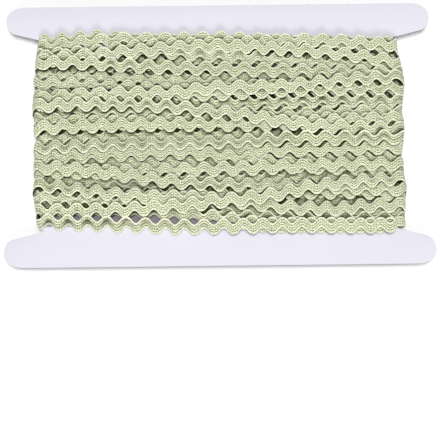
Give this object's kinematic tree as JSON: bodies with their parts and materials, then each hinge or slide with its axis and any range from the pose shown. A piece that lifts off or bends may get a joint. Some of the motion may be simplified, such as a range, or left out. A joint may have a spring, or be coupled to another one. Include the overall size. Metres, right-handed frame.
{
  "type": "rickrack trim wound on a flat card",
  "caption": "Long flat card with a rounded bar at each end, its neck wound with rows of wavy rickrack trim.",
  "frame": {"origin": "middle of the footprint, on the surface that the winding's back rests on", "axes": "+X along the turns of trim, the card's longest way; +Y across the turns to the bar that is at the top of the picture; +Z out of the front face, the part's thinnest way"},
  "size_m": [0.21, 0.13, 0.0122],
  "materials": {
    "white_board": "smooth white coated board with a thin grey-brown cut edge",
    "sage_trim": "matt braided trim in pale sage green"
  },
  "bodies": {
    "root": {"card": "white_board", "winding": "sage_trim"}
  },
  "joints": []
}
